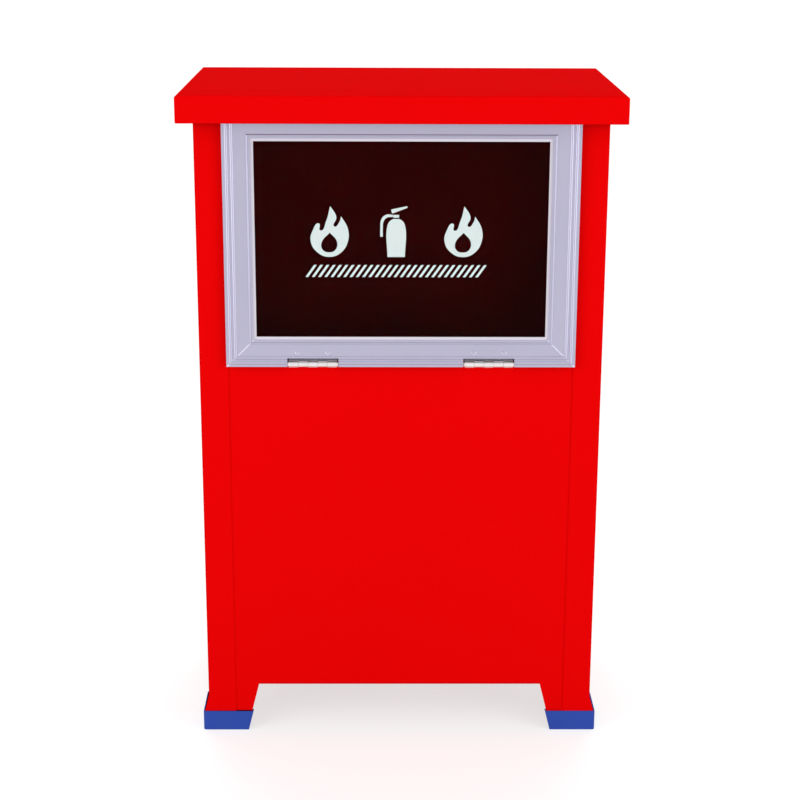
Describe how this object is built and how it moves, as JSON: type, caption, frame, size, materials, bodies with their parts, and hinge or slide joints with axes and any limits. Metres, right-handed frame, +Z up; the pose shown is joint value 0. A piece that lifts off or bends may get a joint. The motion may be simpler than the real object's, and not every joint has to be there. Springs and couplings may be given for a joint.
{
  "type": "fire extinguisher cabinet",
  "caption": "Floor-standing sheet steel cabinet for portable fire extinguishers, with a hinged lid, a glazed front flap that drops as the lid opens, and capped legs.",
  "frame": {"origin": "on the floor under the middle of the whole outline", "axes": "+X to the right as seen from the front, +Y from front to back, +Z up"},
  "size_m": [0.426, 0.2764, 0.6664],
  "materials": {
    "red_paint": "glossy signal red powder coat on folded steel sheet",
    "blue_plastic": "blue moulded plastic, satin",
    "silver_frame": "satin silver anodised extrusion, fine lines along its length",
    "white_strip": "white flexible glazing strip",
    "dark_glass": "clear flat glass that looks dark against the cabinet's inside",
    "zinc_steel": "bright zinc plated steel"
  },
  "bodies": {
    "cabinet": {"left_side_panel": "red_paint", "right_side_panel": "red_paint", "front_panel": "red_paint", "back_panel": "red_paint", "floor_pan": "red_paint", "front_left_foot_cap": "blue_plastic", "front_right_foot_cap": "blue_plastic", "back_left_foot_cap": "blue_plastic", "back_right_foot_cap": "blue_plastic", "left_lid_hinge_fixed_leaf": "zinc_steel", "right_lid_hinge_fixed_leaf": "zinc_steel", "left_lid_hinge_pin": "zinc_steel", "right_lid_hinge_pin": "zinc_steel", "left_flap_hinge_fixed_leaf": "zinc_steel", "right_flap_hinge_fixed_leaf": "zinc_steel", "left_flap_hinge_pin": "zinc_steel", "right_flap_hinge_pin": "zinc_steel"},
    "lid": {"lid_pan": "red_paint", "left_lid_hinge_moving_leaf": "zinc_steel", "right_lid_hinge_moving_leaf": "zinc_steel"},
    "flap": {"flap_bottom_rail": "silver_frame", "flap_top_rail": "silver_frame", "flap_left_stile": "silver_frame", "flap_right_stile": "silver_frame", "flap_glass": "dark_glass", "bottom_glazing_strip": "white_strip", "top_glazing_strip": "white_strip", "left_glazing_strip": "white_strip", "right_glazing_strip": "white_strip", "left_flap_hinge_moving_leaf": "zinc_steel", "right_flap_hinge_moving_leaf": "zinc_steel"}
  },
  "joints": [
    {"name": "lid_hinge", "type": "hinge", "parent": "cabinet", "child": "lid", "pos_m": [0, 0.13535, 0.6384], "axis": [-1, 0, 0], "range_deg": [0, 110]},
    {"name": "flap_hinge", "type": "hinge", "parent": "cabinet", "child": "flap", "pos_m": [0, -0.11085, 0.4002], "axis": [1, 0, 0], "range_deg": [0, 176]}
  ],
  "couplings": [
    {"joint": "flap_hinge", "follows": "lid_hinge", "ratio": 1.6}
  ]
}
